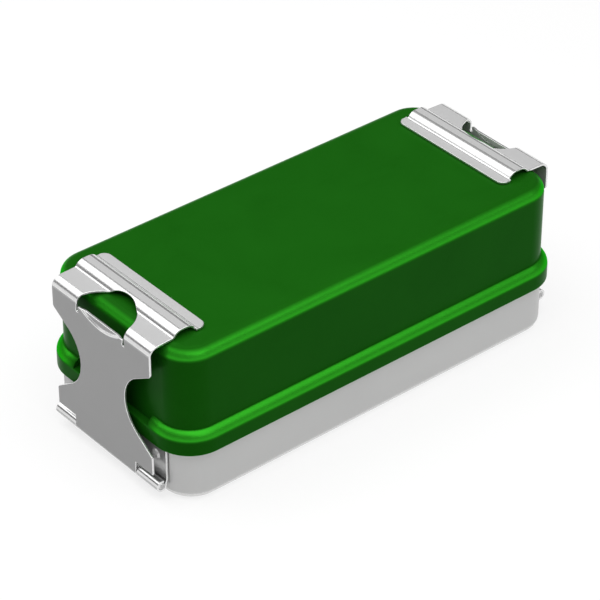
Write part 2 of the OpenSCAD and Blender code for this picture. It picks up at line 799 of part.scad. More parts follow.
// A wire bail that hangs from the ears: two ends, two legs and a cross bar, joined by round bends
module tray_handle() {
    bar_z = pivot_z - handle_l;
    leg_y = handle_y - handle_r;
    bar_y = leg_y - handle_r;
    color([0.7, 0.7, 0.7]) {
        for (side = [0, 1]) mirror([0, side, 0]) {
            translate([pivot_x, handle_y, pivot_z]) rotate([-90, 0, 0])
                cylinder(d = wire_d, h = clear + ear_l + wire_over);
            wire_bend(handle_y, pivot_z - handle_r, 90);
            translate([pivot_x, leg_y, bar_z + handle_r]) cylinder(d = wire_d, h = handle_l - 2 * handle_r);
            wire_bend(bar_y, bar_z + handle_r, -90);
        }
        translate([pivot_x, 0, bar_z]) rotate([90, 0, 0]) cylinder(d = wire_d, h = 2 * bar_y, center = true);
    }
}

// Screw rack, its fasteners and cover

module screw_rack() {
    post_x = rack_l / 2 - post_l;
    post_h = cover_axis_z - rack_top + over;
    color([0.2, 0.36, 0.6]) difference() {
        union() {
            translate([-rack_l / 2, rack_front_y, tray_floor]) cube([rack_l, rack_w, rack_h]);
            translate([-rack_l / 2 - lug_l, rack_front_y, tray_floor])
                cube([rack_l + 2 * lug_l, rack_w, lug_t]);
            for (x = [-rack_l / 2, post_x]) slab(x, x + post_l) {
                translate([cover_axis_y, cover_axis_z]) circle(cover_knuckle_r);
                translate([cover_axis_y - cover_knuckle_r, rack_top - over])
                    square([2 * cover_knuckle_r, post_h]);
            }
        }
        translate([0, rack_y, 0]) {
            round_grid(rack_nx, rack_ny, bore_pitch, bore_d, tray_floor - over, rack_top + over);
            round_grid(rack_nx, rack_ny, bore_pitch, counter_d, rack_top - counter_h, rack_top + over);
        }
        translate([0, cover_axis_y, cover_axis_z]) rotate([0, 90, 0])
            cylinder(r = cover_hole_r, h = rack_l + 2 * over, center = true);
        at_places(screw_places) translate([0, 0, tray_floor - over])
            cylinder(d = rack_screw_d + 2 * fit, h = lug_t + 2 * over);
    }
}

module rack_screws() {
    shank_l = lug_t + tray_t + nut_h + screw_over;
    slot_w = rack_screw_d / 4;
    color([0.78, 0.78, 0.78]) at_places(screw_places) translate([0, 0, tray_floor + lug_t]) difference() {
        union() {
            cylinder(d = rack_head_d, h = rack_head_h);
            translate([0, 0, -shank_l]) cylinder(d = rack_screw_d, h = shank_l + rack_head_h / 2);
        }
        translate([-rack_head_d, -slot_w / 2, rack_head_h / 2]) cube([2 * rack_head_d, slot_w, rack_head_h]);
    }
}

module rack_nuts() {
    color([0.7, 0.7, 0.7]) at_places(screw_places) translate([0, 0, tray_z - nut_h]) difference() {
        cylinder(d = nut_d, h = nut_h, $fn = 6);
        translate([0, 0, -over]) cylinder(d = rack_screw_d + 2 * fit, h = nut_h + 2 * over);
    }
}

module rack_cover() {
    cover_l = rack_l - 2 * post_l - 2 * clear;
    cover_z = rack_top + clear;
    color([0.68, 0.68, 0.68]) difference() {
        union() {
            translate([-cover_l / 2, rack_front_y, cover_z])
                cube([cover_l, cover_axis_y - rack_front_y, cover_t]);
            translate([-cover_l / 2, rack_front_y, cover_z]) cube([cover_l, cover_t, cover_edge_h]);
            slab(-cover_l / 2, cover_l / 2) translate([cover_axis_y, cover_axis_z]) circle(cover_knuckle_r);
        }
        translate([0, cover_axis_y, cover_axis_z]) rotate([0, 90, 0])
            cylinder(r = cover_hole_r, h = rack_l, center = true);
        translate([0, rack_y, 0])
            round_grid(rack_nx, rack_ny, bore_pitch, cover_hole_d, cover_z - over, cover_z + cover_t + over);
    }
}

module rack_hinge_pin() {
    color([0.6, 0.6, 0.6]) translate([0, cover_axis_y, cover_axis_z]) rotate([0, 90, 0])
        cylinder(d = cover_pin_d, h = rack_l, center = true);
}

module tray_mat() {
    mat_w = core_w / 2 + tray_inner_r - mat_gap - rack_off;
    mat_top = tray_floor + mat_t;
    nx = fitting(rack_l, nub_d, nub_pitch);
    ny = fitting(mat_w, nub_d, nub_pitch);
    color([0.35, 0.6, 0.4]) translate([0, rack_off + mat_w / 2, 0]) {
        rounded_slab(rack_l, mat_w, mat_r, tray_floor, mat_top);
        round_grid(nx, ny, nub_pitch, nub_d, mat_top - mat_t / 2, mat_top + nub_h);
    }
}

base_tray();
at_end(-1) bracket();  // left_bracket
at_end(1) bracket();  // right_bracket
at_end(-1) bracket_rivets();  // left_bracket_rivets
at_end(1) bracket_rivets();  // right_bracket_rivets
at_end(-1) hinge_pin();  // left_hinge_pin
at_end(1) hinge_pin();  // right_hinge_pin
at_end(-1) spring_clamp();  // left_clamp
at_end(1) spring_clamp();  // right_clamp
lid_shell();
lid_gasket();
filter_sheet();
filter_retainer();
retainer_stud();
retainer_latch();
inner_tray();
tray_feet();
tray_ears();
at_end(-1) tray_handle();  // left_tray_handle
at_end(1) tray_handle();  // right_tray_handle
screw_rack();
rack_screws();
rack_nuts();
rack_cover();
rack_hinge_pin();
tray_mat();
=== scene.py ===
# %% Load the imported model
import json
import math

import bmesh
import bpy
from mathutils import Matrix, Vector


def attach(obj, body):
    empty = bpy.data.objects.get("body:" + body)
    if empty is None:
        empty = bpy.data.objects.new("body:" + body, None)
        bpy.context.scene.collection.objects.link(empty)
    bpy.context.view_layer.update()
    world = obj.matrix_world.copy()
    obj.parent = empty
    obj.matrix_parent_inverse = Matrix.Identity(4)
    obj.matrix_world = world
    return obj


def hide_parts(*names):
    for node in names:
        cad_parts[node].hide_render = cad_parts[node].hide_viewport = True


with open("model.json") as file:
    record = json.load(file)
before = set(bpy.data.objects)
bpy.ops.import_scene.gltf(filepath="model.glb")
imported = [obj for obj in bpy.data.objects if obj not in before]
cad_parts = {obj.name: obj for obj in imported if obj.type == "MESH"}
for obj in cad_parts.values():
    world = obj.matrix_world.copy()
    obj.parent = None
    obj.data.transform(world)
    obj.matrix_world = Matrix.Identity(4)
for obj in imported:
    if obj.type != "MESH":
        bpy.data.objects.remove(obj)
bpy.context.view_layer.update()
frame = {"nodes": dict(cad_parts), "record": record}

# %% [markdown]
# # A small implant container in green and silver
#
# The real thing is a two-part metal box in which bone screws and other implants are stored, washed and
# steamed. Its base is bare aluminium, its tall lid is anodised green, and two spring clamps hook over the
# lid's top.
#
# Every piece was drawn as a solid first, and that model is loaded above as a fixed frame.
# This lesson dresses it: the camera and the light, then the finishes, then the pieces one by one.

MM = 0.001
scene = bpy.context.scene
record = frame["record"]
body_of = {node: body for body, nodes in record["behaviour"]["bodies"].items() for node in nodes}
slot_of = {part["node"]: part["material_slot"] for part in record["subparts"]}
print("in", len(body_of), "nodes")

# %% [markdown]
# ## The camera
#
# A picture's point of view can be found again from straight edges whose real directions are known.
# Here the lid's long edges gave a far camera with a long lens, turned 40 degrees and looking down 35 degrees.
# The three unit vectors below are the picture's right, its up, and the way back to the camera.

# %% Place the camera
TURN, TILT = math.radians(39.80), math.radians(35.09)
LENS_MM, CAMERA_BACK = 171.24, 1200
AIM_RIGHT, AIM_UP = -3.019, 26.363
right = Vector((math.cos(TURN), -math.sin(TURN), 0))
up = Vector((math.sin(TILT) * math.sin(TURN), math.sin(TILT) * math.cos(TURN), math.cos(TILT)))
back = right.cross(up)

lens = bpy.data.cameras.new("picture_camera")
lens.sensor_width = 36
lens.lens = LENS_MM
lens.clip_end = 20
camera = bpy.data.objects.new("picture_camera", lens)
aim = (AIM_RIGHT * right + AIM_UP * up) * MM
turned = Matrix((right, up, back)).transposed().to_4x4()
camera.matrix_world = Matrix.Translation(aim + CAMERA_BACK * MM * back) @ turned
scene.collection.objects.link(camera)
scene.camera = camera
print("camera stands at, mm:", [round(v / MM) for v in camera.matrix_world.translation])

# %% [markdown]
# ## The studio
#
# Small metal goods are lit from one long softbox overhead. It is turned until each rounded edge that faces
# the camera mirrors it somewhere and the flat tops just miss it, so it draws a light line along every edge.
# A lamp alone would leave satin metal black where it mirrors an empty room, so the room itself is a soft
# gradient, dark low down behind the object and paler in front and overhead. The dark part gives each light
# line its dark neighbour.

# %% Hang the softbox
scene.view_settings.view_transform = "Standard"
OBJECT_MIDDLE = Vector((0, 0, 0.03))


def soft_light(name, place, along, size, power):
    """A rectangular softbox at place with its long side along a direction, aimed at the object's middle."""
    data = bpy.data.lights.new(name, "AREA")
    data.shape = "RECTANGLE"
    data.size, data.size_y = size
    data.energy = power
    lamp = bpy.data.objects.new(name, data)
    away = (place - OBJECT_MIDDLE).normalized()
    across = away.cross(along).normalized()
    axes = Matrix((across.cross(away), across, away)).transposed().to_4x4()
    lamp.matrix_world = Matrix.Translation(place) @ axes
    scene.collection.objects.link(lamp)
    return lamp


length_way = Vector((0.356, -0.934, 0))
width_way = Vector((0.934, 0.356, 0))
SOFTBOX_HEIGHT, SOFTBOX_SHIFT = 0.78, -0.09
SOFTBOX_SIZE, SOFTBOX_POWER = (2.3, 1.0), 11.0
hung_at = Vector((0, 0, SOFTBOX_HEIGHT)) + SOFTBOX_SHIFT * width_way
softbox = soft_light("overhead_softbox", hung_at, length_way, SOFTBOX_SIZE, SOFTBOX_POWER)
print("softbox hangs at, m:", [round(v, 2) for v in softbox.location])

# %% Paint the room
# Each pair is how far a direction leans towards the pale side, and the grey that is seen there.
PALE_SIDE = (-0.1, -0.35, 0.93)
ROOM = [(0.0, 0.06), (0.15, 0.14), (0.35, 0.21), (0.7, 0.34), (1.0, 0.5)]
world = bpy.data.worlds.new("studio")
world.use_nodes = True
scene.world = world
nodes, links = world.node_tree.nodes, world.node_tree.links
direction = nodes.new("ShaderNodeTexCoord")
leaning = nodes.new("ShaderNodeVectorMath")
leaning.operation = "DOT_PRODUCT"
leaning.inputs[1].default_value = PALE_SIDE
gradient = nodes.new("ShaderNodeValToRGB")
links.new(direction.outputs["Generated"], leaning.inputs[0])
links.new(leaning.outputs["Value"], gradient.inputs["Fac"])
links.new(gradient.outputs["Color"], nodes["Background"].inputs["Color"])
stops = gradient.color_ramp.elements
stops.remove(stops[1])
for i, (place_on_ramp, level) in enumerate(ROOM):
    stop = stops[0] if i == 0 else stops.new(place_on_ramp)
    stop.position = place_on_ramp
    stop.color = (level, level, level, 1)
print("room:", len(stops), "greys, from", ROOM[0][1], "to", ROOM[-1][1])

# %% [markdown]
# ## The sweep
#
# The object stands on a plain pale sweep, a round sheet of paper whose rim curves up out of the picture. A
# real photographer burns the paper out to white behind the goods. Turning up the lamps would burn the metal
# out as well, so the sweep adds its own light for the camera and for what metal mirrors. It is still lit by
# the softbox too, and so it keeps the object's soft shadow.

# %% Bend the sweep
# All in metres: the flat part's radius, the rim's radius, the height of its upright end, and a hair below
# the feet.
SWEEP_FLAT, SWEEP_RIM, SWEEP_RISE, SWEEP_DROP = 3.2, 0.5, 0.85, 0.0001
RIM_STEPS, AROUND = 8, 96
profile = [(0.8, 0.0), (1.6, 0.0), (2.4, 0.0)]
for i in range(RIM_STEPS + 1):
    lean = math.radians(90 * i / RIM_STEPS)
    profile.append((SWEEP_FLAT + SWEEP_RIM * math.sin(lean), SWEEP_RIM * (1 - math.cos(lean))))
profile.append((SWEEP_FLAT + SWEEP_RIM, SWEEP_RISE))
turns = [2 * math.pi * i / AROUND for i in range(AROUND)]
paper_sheet = bmesh.new()
rings = []
for radius, height in profile:
    rings.append([paper_sheet.verts.new((radius * math.cos(t), radius * math.sin(t), height - SWEEP_DROP))
                  for t in turns])
paper_sheet.faces.new(rings[0])
for inner, outer in zip(rings, rings[1:]):
    for i in range(AROUND):
        j = (i + 1) % AROUND
        paper_sheet.faces.new((inner[i], outer[i], outer[j], inner[j])).smooth = True
sweep_mesh = bpy.data.meshes.new("sweep")
paper_sheet.to_mesh(sweep_mesh)
paper_sheet.free()
sweep = bpy.data.objects.new("sweep", sweep_mesh)
scene.collection.objects.link(sweep)
print("sweep:", len(sweep_mesh.polygons), "faces")

# %% Burn the sweep out to white
# Near the object the paper takes the lamp's light and shadow, and towards the rim its own light takes over.
NEAR_TONE, FAR_TONE = 0.30, 0.04
NEAR, FAR = 0.9, 3.0
WHITE = 1.02
paper = bpy.data.materials.new("pale_paper")
paper.use_nodes = True
nodes, links = paper.node_tree.nodes, paper.node_tree.links
shader = nodes["Principled BSDF"]
shader.inputs["Roughness"].default_value = 1
shader.inputs["Specular IOR Level"].default_value = 0
shader.inputs["Emission Color"].default_value = (1, 1, 1, 1)
where = nodes.new("ShaderNodeTexCoord")
reach = nodes.new("ShaderNodeVectorMath")
reach.operation = "LENGTH"
links.new(where.outputs["Object"], reach.inputs[0])
far = nodes.new("ShaderNodeMapRange")
far.inputs["From Min"].default_value = NEAR
far.inputs["From Max"].default_value = FAR
links.new(reach.outputs["Value"], far.inputs["Value"])
paper_tone = nodes.new("ShaderNodeMix")
paper_tone.data_type = "RGBA"
paper_tone.inputs["A"].default_value = (NEAR_TONE, NEAR_TONE, NEAR_TONE, 1)
paper_tone.inputs["B"].default_value = (FAR_TONE, FAR_TONE, FAR_TONE, 1)
links.new(far.outputs["Result"], paper_tone.inputs["Factor"])
links.new(paper_tone.outputs["Result"], shader.inputs["Base Color"])
own = nodes.new("ShaderNodeMapRange")
own.inputs["To Min"].default_value = WHITE - NEAR_TONE
own.inputs["To Max"].default_value = WHITE - FAR_TONE
links.new(far.outputs["Result"], own.inputs["Value"])
ray = nodes.new("ShaderNodeLightPath")
seen = nodes.new("ShaderNodeMath")
seen.operation = "MAXIMUM"
links.new(ray.outputs["Is Camera Ray"], seen.inputs[0])
links.new(ray.outputs["Is Glossy Ray"], seen.inputs[1])
seen_too = nodes.new("ShaderNodeMath")
seen_too.operation = "MAXIMUM"
links.new(seen.outputs[0], seen_too.inputs[0])
links.new(ray.outputs["Is Transmission Ray"], seen_too.inputs[1])
lift = nodes.new("ShaderNodeMath")
lift.operation = "MULTIPLY"
links.new(seen_too.outputs[0], lift.inputs[0])
links.new(own.outputs["Result"], lift.inputs[1])
links.new(lift.outputs[0], shader.inputs["Emission Strength"])
sweep_mesh.materials.append(paper)
print("sweep's own light near the object:", round(WHITE - NEAR_TONE, 2))
print("sweep's own light far off:", round(WHITE - FAR_TONE, 2))

# %% [markdown]
# ## Effects that several finishes share
#
# Four things tell a real metal box from a plain colour: a fine grain from tumbling or brushing, a slow change
# of tone from handling and washing, edges that are worn a little brighter than the faces, and bends that a
# tool has burnished. The brighter edges and the bends that turn up towards the light are also where the
# finishes paint a highlight into the colour. Each is a node group that is built once here and placed in the
# finishes with its own values. The groups put out heights and masks only, and the finishes decide what to do
# with them.

# %% Begin a node group


def new_group(name, inputs, outputs):
    """An empty shader group with float or vector inputs and float outputs, and its two end nodes."""
    group = bpy.data.node_groups.new(name, "ShaderNodeTree")
    for label, value in inputs:
        kind = "NodeSocketVector" if isinstance(value, tuple) else "NodeSocketFloat"
        socket = group.interface.new_socket(label, in_out="INPUT", socket_type=kind)
        socket.default_value = value
    for label in outputs:
        group.interface.new_socket(label, in_out="OUTPUT", socket_type="NodeSocketFloat")
    entry = group.nodes.new("NodeGroupInput")
    out = group.nodes.new("NodeGroupOutput")
    return group, entry, out


# %% The fine grain
# Noise in the piece's own coordinates, drawn out along one direction by the stretch.
grain_group, entry, out = new_group(
    "satin_grain", [("Grains per metre", 3000.0), ("Stretch", (1.0, 1.0, 1.0))], ["Height", "Sparkle"])
where = grain_group.nodes.new("ShaderNodeTexCoord")
stretched = grain_group.nodes.new("ShaderNodeVectorMath")
stretched.operation = "MULTIPLY"
grain = grain_group.nodes.new("ShaderNodeTexNoise")
grain.inputs["Detail"].default_value = 3
grain.inputs["Roughness"].default_value = 0.6
fine = grain_group.nodes.new("ShaderNodeMapRange")
fine.inputs["From Min"].default_value = 0.35
fine.inputs["From Max"].default_value = 0.65
grain_group.links.new(where.outputs["Object"], stretched.inputs[0])
grain_group.links.new(entry.outputs["Stretch"], stretched.inputs[1])
grain_group.links.new(stretched.outputs["Vector"], grain.inputs["Vector"])
grain_group.links.new(entry.outputs["Grains per metre"], grain.inputs["Scale"])
grain_group.links.new(grain.outputs["Fac"], fine.inputs["Value"])
grain_group.links.new(grain.outputs["Fac"], out.inputs["Height"])
grain_group.links.new(fine.outputs["Result"], out.inputs["Sparkle"])
print("satin_grain:", len(grain_group.nodes), "nodes")

# %% The slow change of tone
tone_group, entry, out = new_group("handling_tone", [("Patches per metre", 30.0)], ["Tone"])
where = tone_group.nodes.new("ShaderNodeTexCoord")
patches = tone_group.nodes.new("ShaderNodeTexNoise")
patches.inputs["Detail"].default_value = 4
patches.inputs["Distortion"].default_value = 0.6
spread = tone_group.nodes.new("ShaderNodeMapRange")
spread.inputs["From Min"].default_value = 0.3
spread.inputs["From Max"].default_value = 0.7
tone_group.links.new(where.outputs["Object"], patches.inputs["Vector"])
tone_group.links.new(entry.outputs["Patches per metre"], patches.inputs["Scale"])
tone_group.links.new(patches.outputs["Fac"], spread.inputs["Value"])
tone_group.links.new(spread.outputs["Result"], out.inputs["Tone"])
print("handling_tone:", len(tone_group.nodes), "nodes")

# %% The worn edges, partly wear and partly a painted highlight
# The meshes below carry a value named edge, which is 1 on each rounded edge and 0 on the faces. The brighter
# colour that this mask leads to is partly wear and partly a painted highlight.
wear_and_highlight_edge_group, entry, out = new_group("wear_and_painted_highlight_edge", [("Wear", 0.6)], ["Mask"])
marked = wear_and_highlight_edge_group.nodes.new("ShaderNodeAttribute")
marked.attribute_name = "edge"
where = wear_and_highlight_edge_group.nodes.new("ShaderNodeTexCoord")
chips = wear_and_highlight_edge_group.nodes.new("ShaderNodeTexNoise")
chips.inputs["Scale"].default_value = 900
patchy = wear_and_highlight_edge_group.nodes.new("ShaderNodeMapRange")
patchy.inputs["From Min"].default_value = 0.3
patchy.inputs["From Max"].default_value = 0.6
patchy.inputs["To Min"].default_value = 0.5
masked = wear_and_highlight_edge_group.nodes.new("ShaderNodeMath")
masked.operation = "MULTIPLY"
scaled = wear_and_highlight_edge_group.nodes.new("ShaderNodeMath")
scaled.operation = "MULTIPLY"
wear_and_highlight_edge_group.links.new(where.outputs["Object"], chips.inputs["Vector"])
wear_and_highlight_edge_group.links.new(chips.outputs["Fac"], patchy.inputs["Value"])
wear_and_highlight_edge_group.links.new(patchy.outputs["Result"], masked.inputs[0])
wear_and_highlight_edge_group.links.new(marked.outputs["Fac"], masked.inputs[1])
wear_and_highlight_edge_group.links.new(masked.outputs[0], scaled.inputs[0])
wear_and_highlight_edge_group.links.new(entry.outputs["Wear"], scaled.inputs[1])
wear_and_highlight_edge_group.links.new(scaled.outputs[0], out.inputs["Mask"])
print("wear_and_painted_highlight_edge:", len(wear_and_highlight_edge_group.nodes), "nodes")

# %% The burnished bends and their painted highlight
# The meshes also carry a second value, which rises from 0 on flat sheet to 1 on its bends where they turn up
# towards the light, and a rounded edge counts as well. A tool slides over the metal there and leaves it
# smoother, and the finishes also paint it lighter there, which is a painted highlight.
burnish_and_highlight_group, entry, out = new_group("burnish_and_painted_highlight", [("Streaks per metre", 250.0)], ["Mask"])
drawn = burnish_and_highlight_group.nodes.new("ShaderNodeAttribute")
drawn.attribute_name = "drawn"
rubbed = burnish_and_highlight_group.nodes.new("ShaderNodeAttribute")
rubbed.attribute_name = "edge"
either = burnish_and_highlight_group.nodes.new("ShaderNodeMath")
either.operation = "MAXIMUM"
where = burnish_and_highlight_group.nodes.new("ShaderNodeTexCoord")
streaks = burnish_and_highlight_group.nodes.new("ShaderNodeTexNoise")
uneven = burnish_and_highlight_group.nodes.new("ShaderNodeMapRange")
uneven.inputs["To Min"].default_value = 0.85
even = burnish_and_highlight_group.nodes.new("ShaderNodeMath")
even.operation = "MULTIPLY"
burnish_and_highlight_group.links.new(drawn.outputs["Fac"], either.inputs[0])
burnish_and_highlight_group.links.new(rubbed.outputs["Fac"], either.inputs[1])
burnish_and_highlight_group.links.new(where.outputs["Object"], streaks.inputs["Vector"])
burnish_and_highlight_group.links.new(entry.outputs["Streaks per metre"], streaks.inputs["Scale"])
burnish_and_highlight_group.links.new(streaks.outputs["Fac"], uneven.inputs["Value"])
burnish_and_highlight_group.links.new(either.outputs[0], even.inputs[0])
burnish_and_highlight_group.links.new(uneven.outputs["Result"], even.inputs[1])
burnish_and_highlight_group.links.new(even.outputs[0], out.inputs["Mask"])
print("shared effects:", sorted(g.name for g in bpy.data.node_groups))

# %% [markdown]
# ## A finish from the shared effects
#
# Every finish here is built the same way, so one function lays its nodes. The tone shifts the colour between
# two near shades, the worn edges lead on to a third, brighter one, which is partly wear and partly a painted
# highlight, and the grain moves the gloss a little and raises a bump a few thousandths of a millimetre high.
# What is the same all over stays on the shader's own sockets. Sheet metal changes at its bends, so there a
# mask also leads how metallic and how rough it is, and leads the colour to a lighter shade, which is a
# painted highlight.

# %% Lay the nodes of a finish


def finish(slot, shades, wear_and_highlight, rough, grain, metallic=0.0, bent=None, specular=0.5, tint=None):
    """A material for one slot of the record.

    shades are its two near colours, the next colour is that of its rounded edges, partly wear and partly a
    painted highlight, and rough is its least and greatest roughness. grain is (grains per metre, stretch,
    height in mm), and bent is (metallic, roughness, colour) where a bend of sheet metal is burnished; that
    colour is a lighter shade, a painted highlight.
    """
    paint = bpy.data.materials.new(slot + "_finish")
    paint.use_nodes = True
    nodes, links = paint.node_tree.nodes, paint.node_tree.links
    shader = nodes["Principled BSDF"]
    shader.inputs["Metallic"].default_value = metallic
    shader.inputs["Specular IOR Level"].default_value = specular
    if tint:
        shader.inputs["Specular Tint"].default_value = (*tint, 1)

    def placed(group, **values):
        """A shared effect with its own values for this finish."""
        node = nodes.new("ShaderNodeGroup")
        node.node_tree = group
        for label, value in values.items():
            node.inputs[label.replace("_", " ")].default_value = value
        return node

    def blended(kind, first, second, mask):
        """Leads from one socket, number or colour to another as a mask rises."""
        node = nodes.new("ShaderNodeMix")
        node.data_type = kind
        for label, value in (("A", first), ("B", second)):
            if isinstance(value, bpy.types.NodeSocket):
                links.new(value, node.inputs[label])
            else:
                node.inputs[label].default_value = (*value, 1) if kind == "RGBA" else value
        links.new(mask, node.inputs["Factor"])
        return node.outputs["Result"]

    grains, stretch, height = grain
    texture = placed(grain_group, Grains_per_metre=grains, Stretch=stretch)
    tone = placed(tone_group)
    colour = blended("RGBA", shades[0], shades[1], tone.outputs["Tone"])

    both = nodes.new("ShaderNodeMath")
    both.operation = "ADD"
    links.new(texture.outputs["Sparkle"], both.inputs[0])
    links.new(tone.outputs["Tone"], both.inputs[1])
    gloss = nodes.new("ShaderNodeMapRange")
    gloss.inputs["From Max"].default_value = 2
    gloss.inputs["To Min"].default_value = rough[0]
    gloss.inputs["To Max"].default_value = rough[1]
    links.new(both.outputs[0], gloss.inputs["Value"])
    roughness = gloss.outputs["Result"]

    if bent:
        bright = placed(burnish_and_highlight_group).outputs["Mask"]
        links.new(blended("FLOAT", metallic, bent[0], bright), shader.inputs["Metallic"])
        roughness = blended("FLOAT", roughness, bent[1], bright)
        # Painted highlight: the colour leads to the lighter bent shade on bends that tilt up and on rounded
        # edges.
        colour = blended("RGBA", colour, bent[2], bright)
    links.new(roughness, shader.inputs["Roughness"])
    # The edge colour is partly wear and partly a painted highlight.
    links.new(blended("RGBA", colour, wear_and_highlight, placed(wear_and_highlight_edge_group).outputs["Mask"]), shader.inputs["Base Color"])

    bump = nodes.new("ShaderNodeBump")
    bump.inputs["Distance"].default_value = height * MM
    links.new(texture.outputs["Height"], bump.inputs["Height"])
    links.new(bump.outputs["Normal"], shader.inputs["Normal"])
    return paint


# %% [markdown]
# ## The finishes of this object
#
# The lid is anodised: a thin porous skin on the aluminium has soaked up green dye, so it is satin, and its
# gloss is tinted by the dye. The base is bare aluminium with a silky tumbled face, and clamps, hinges and
# rivets are stainless steel. Inside there is brushed steel sheet, a rack with a blue anodised skin, silicone,
# fleece and plastic. A fully metallic shader would show nothing but the dark room on every flat face. Tumbled
# metal scatters light instead, so the flat faces here are mostly plain colour, and the bends and cut edges
# are nearly all metal. On those bends and edges each finish also lightens the colour, which is a painted
# highlight, and the edge colour is partly wear as well.

# %% Mix the finishes
EVEN, BRUSHED, FIBRES = (1.0, 1.0, 1.0), (0.05, 1.0, 1.0), (1.0, 0.3, 1.0)


def grey(level, warmth=0.0):
    """A grey, a little short of blue where it is warm."""
    return (level, level, level - warmth)


# The colour last in each bent is a painted highlight for the bends and rounded edges.
finishes = {
    "lid_aluminium": finish(
        "lid_aluminium", [(0.0085, 0.108, 0.0045), (0.0100, 0.120, 0.0055)], (0.02, 0.22, 0.012),
        (0.26, 0.32), (5000, EVEN, 0.003), metallic=0.1, bent=(0.9, 0.42, (0.031, 0.385, 0.018)),
        specular=0.03, tint=(0.05, 1, 0.03)),
    "base_aluminium": finish(
        "base_aluminium", [grey(0.665, 0.005), grey(0.69, 0.005)], grey(0.85, 0.01), (0.30, 0.38),
        (5000, EVEN, 0.003), metallic=0.42, bent=(0.8, 0.26, grey(0.78, 0.005)), specular=0.3),
    "spring_steel": finish(
        "spring_steel", [grey(0.55), grey(0.57)], grey(0.85), (0.28, 0.34),
        (5000, EVEN, 0.0015), metallic=0.08, bent=(0.88, 0.2, grey(0.82)), specular=0.3),
    "hinge_steel": finish(
        "hinge_steel", [grey(0.55), grey(0.58)], grey(0.85), (0.22, 0.28),
        (5000, EVEN, 0.0015), metallic=0.5, bent=(0.95, 0.16, grey(0.74)), specular=0.3),
    "rivet_steel": finish(
        "rivet_steel", [grey(0.72), grey(0.75)], grey(0.85), (0.24, 0.3),
        (5000, EVEN, 0.001), metallic=0.35, bent=(0.4, 0.26, grey(0.84))),
    "sheet_steel": finish(
        "sheet_steel", [grey(0.58), grey(0.62)], grey(0.8), (0.25, 0.35),
        (3000, BRUSHED, 0.0012), metallic=0.35, bent=(0.85, 0.22, grey(0.78)), specular=0.3),
    "tray_aluminium": finish(
        "tray_aluminium", [grey(0.62), grey(0.66)], grey(0.8), (0.3, 0.4),
        (4000, EVEN, 0.004), metallic=0.3, bent=(0.8, 0.28, grey(0.76)), specular=0.3),
    "rack_aluminium": finish(
        "rack_aluminium", [(0.035, 0.11, 0.33), (0.04, 0.125, 0.36)], (0.25, 0.35, 0.6), (0.3, 0.4),
        (4000, EVEN, 0.004), metallic=0.35, bent=(0.85, 0.3, (0.07, 0.2, 0.52)), specular=0.15),
    "gasket_silicone": finish(
        "gasket_silicone", [grey(0.52, 0.03), grey(0.56, 0.03)], grey(0.6, 0.03), (0.45, 0.6),
        (2500, EVEN, 0.01)),
    "mat_silicone": finish(
        "mat_silicone", [(0.10, 0.31, 0.13), (0.11, 0.34, 0.15)], (0.2, 0.42, 0.25), (0.5, 0.65),
        (2500, EVEN, 0.01)),
    "filter_fleece": finish(
        "filter_fleece", [grey(0.82, 0.04), grey(0.86, 0.04)], grey(0.9, 0.03), (0.85, 0.95),
        (1200, FIBRES, 0.05)),
    "latch_plastic": finish(
        "latch_plastic", [(0.60, 0.03, 0.02), (0.64, 0.035, 0.022)], (0.7, 0.1, 0.08), (0.3, 0.4),
        (3000, EVEN, 0.005)),
    "feet_plastic": finish(
        "feet_plastic", [grey(0.07, -0.01), grey(0.08, -0.01)], grey(0.15, -0.01), (0.5, 0.6),
        (3000, EVEN, 0.008)),
}
print("finishes:", len(finishes))

# %% [markdown]
# ## From drawn solid to finished piece
#
# A solid from a drawing program has edges of no radius at all, and no such edge exists on a real part.
# Sheared and drilled metal is tumbled or brushed afterwards, and its rounded edges catch the light as fine
# lines. So each node's mesh is opened, its triangles are joined into clean faces again, and the sharp edges
# are rounded. The new faces are marked as edge, and the bends of the sheet that turn up towards the light are
# marked too, for the two effects that ask for them; both marks also lead to a lighter colour, a painted
# highlight. Nothing moves by more than the rounding.

# %% Open a drawn mesh and round its edges
WELD, SAME_FACE = 1e-6, math.radians(0.6)


def opened(name):
    """The mesh of a node from the solid model as a bmesh, in which flat faces are whole again."""
    mesh = bmesh.new()
    mesh.from_mesh(frame["nodes"][name].data)
    bmesh.ops.remove_doubles(mesh, verts=mesh.verts, dist=WELD)
    bmesh.ops.dissolve_limit(mesh, angle_limit=SAME_FACE, verts=mesh.verts, edges=mesh.edges)
    return mesh


def sharp_edges(mesh, over=40):
    """The edges that turn by more than so many degrees."""
    return [e for e in mesh.edges if e.is_manifold and e.calc_face_angle() > math.radians(over)]


def round_edges(mesh, width, edges=None, keep_clear=True):
    """Rounds the given edges, or all sharp ones, by width in mm, and marks the new faces."""
    mark = mesh.loops.layers.float.get("edge") or mesh.loops.layers.float.new("edge")
    made = bmesh.ops.bevel(mesh, geom=sharp_edges(mesh) if edges is None else edges, offset=width * MM,
                           offset_type="OFFSET", segments=2, profile=0.5, affect="EDGES",
                           clamp_overlap=keep_clear, loop_slide=True)
    for face in made["faces"]:
        for corner in face.loops:
            corner[mark] = 1.0
    return mesh


trial = opened("lid_gasket")
print("lid_gasket opens to", len(trial.faces), "faces with", len(sharp_edges(trial)), "sharp edges")
trial.free()

# %% Find the bends of a mesh, where a highlight is painted
# A facet is flat where the curve through it is slacker than FLAT_R, and is only judged if it is wider than
# FACET, both in mm. A side that turns by more than CREASE is an edge, not a curve. The last values are
# upright parts of a normal, from 0 on a wall to 1 on a level face: the burnish and the painted highlight
# start at the first of a pair and are full at the second, so the highlight lies on bends that tilt up towards
# the overhead softbox.
FLAT_R, FACET = 25, 0.8
CREASE = math.radians(35)
UPRIGHT, WALL_END, BEND_START = 0.03, 0.1, 0.25
LEVEL_END, SOFT_START = 0.906, 0.643


